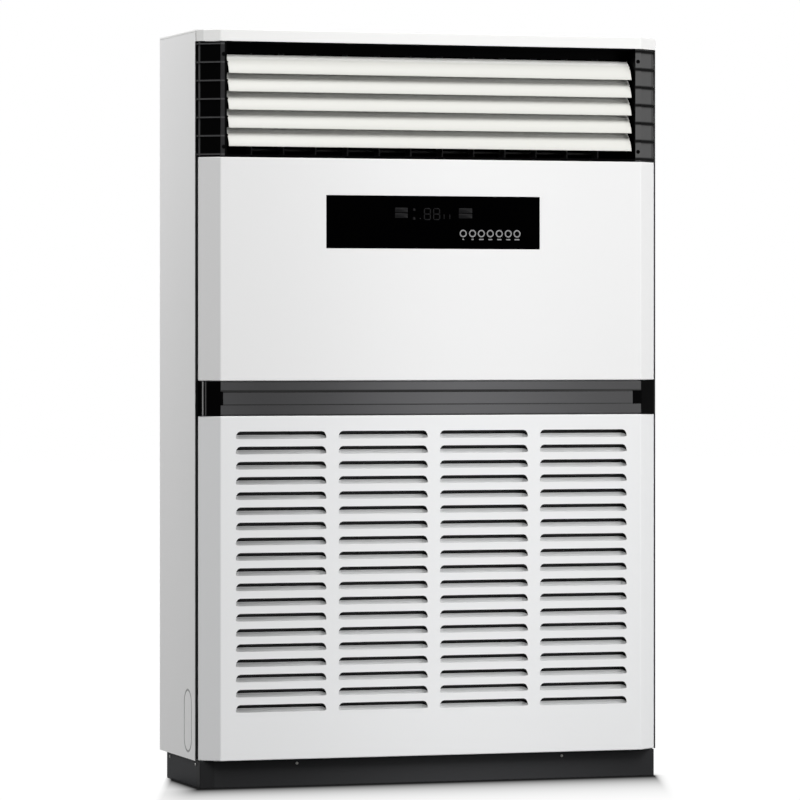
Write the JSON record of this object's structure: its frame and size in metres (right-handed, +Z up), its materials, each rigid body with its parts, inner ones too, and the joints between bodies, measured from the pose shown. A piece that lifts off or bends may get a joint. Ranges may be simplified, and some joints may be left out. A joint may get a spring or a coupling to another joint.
{
  "type": "floor standing air conditioner indoor unit",
  "caption": "Tall steel cabinet that draws room air through pressed louvres below and blows it out through tilting slats at the top.",
  "frame": {"origin": "on the floor, under the middle of the cabinet", "axes": "+X to the right as seen from the front, +Y to the back, +Z up; the louvred front faces -Y"},
  "size_m": [1.2, 0.38, 1.855],
  "materials": {
    "white_enamel": "off-white powder coat with a satin sheen",
    "grey_enamel": "dark grey powder coat",
    "grey_trim": "dark grey satin moulding",
    "black_plastic": "black moulded plastic, lightly textured",
    "gloss_black": "polished black",
    "ivory_plastic": "ivory moulded plastic",
    "zinc_steel": "zinc-coated sheet",
    "filter_plastic": "black filter frame"
  },
  "bodies": {
    "cabinet": {"left_side_panel": "white_enamel", "right_side_panel": "white_enamel", "back_panel": "white_enamel", "top_cap": "white_enamel", "lower_grille_panel": "white_enamel", "upper_front_panel": "white_enamel", "plinth_front_rail": "grey_enamel", "plinth_rear_rail": "grey_enamel", "plinth_left_rail": "grey_enamel", "plinth_right_rail": "grey_enamel", "trim_band": "grey_trim", "trim_end_left": "black_plastic", "trim_end_right": "black_plastic", "outlet_top_rail": "black_plastic", "outlet_bottom_rail": "black_plastic", "outlet_corner_left": "black_plastic", "outlet_corner_right": "black_plastic", "outlet_duct": "black_plastic", "guide_vanes": "black_plastic", "display_panel": "gloss_black", "base_pan": "zinc_steel", "left_front_post": "zinc_steel", "right_front_post": "zinc_steel", "mid_deck": "zinc_steel", "air_filter_left": "filter_plastic", "air_filter_right": "filter_plastic"},
    "slat_1": {"slat_1": "ivory_plastic"},
    "slat_2": {"slat_2": "ivory_plastic"},
    "slat_3": {"slat_3": "ivory_plastic"},
    "slat_4": {"slat_4": "ivory_plastic"},
    "slat_5": {"slat_5": "ivory_plastic"}
  },
  "joints": [
    {"name": "slat_1_hinge", "type": "hinge", "parent": "cabinet", "child": "slat_1", "pos_m": [0, -0.1697, 1.597], "axis": [-1, 0, 0], "range_deg": [-15, 35]},
    {"name": "slat_2_hinge", "type": "hinge", "parent": "cabinet", "child": "slat_2", "pos_m": [0, -0.1697, 1.6416], "axis": [-1, 0, 0], "range_deg": [-15, 35]},
    {"name": "slat_3_hinge", "type": "hinge", "parent": "cabinet", "child": "slat_3", "pos_m": [0, -0.1697, 1.6862], "axis": [-1, 0, 0], "range_deg": [-15, 35]},
    {"name": "slat_4_hinge", "type": "hinge", "parent": "cabinet", "child": "slat_4", "pos_m": [0, -0.1697, 1.7308], "axis": [-1, 0, 0], "range_deg": [-15, 35]},
    {"name": "slat_5_hinge", "type": "hinge", "parent": "cabinet", "child": "slat_5", "pos_m": [0, -0.1697, 1.7754], "axis": [-1, 0, 0], "range_deg": [-15, 35]}
  ],
  "couplings": [
    {"joint": "slat_2_hinge", "follows": "slat_1_hinge", "ratio": 1},
    {"joint": "slat_3_hinge", "follows": "slat_1_hinge", "ratio": 1},
    {"joint": "slat_4_hinge", "follows": "slat_1_hinge", "ratio": 1},
    {"joint": "slat_5_hinge", "follows": "slat_1_hinge", "ratio": 1}
  ]
}
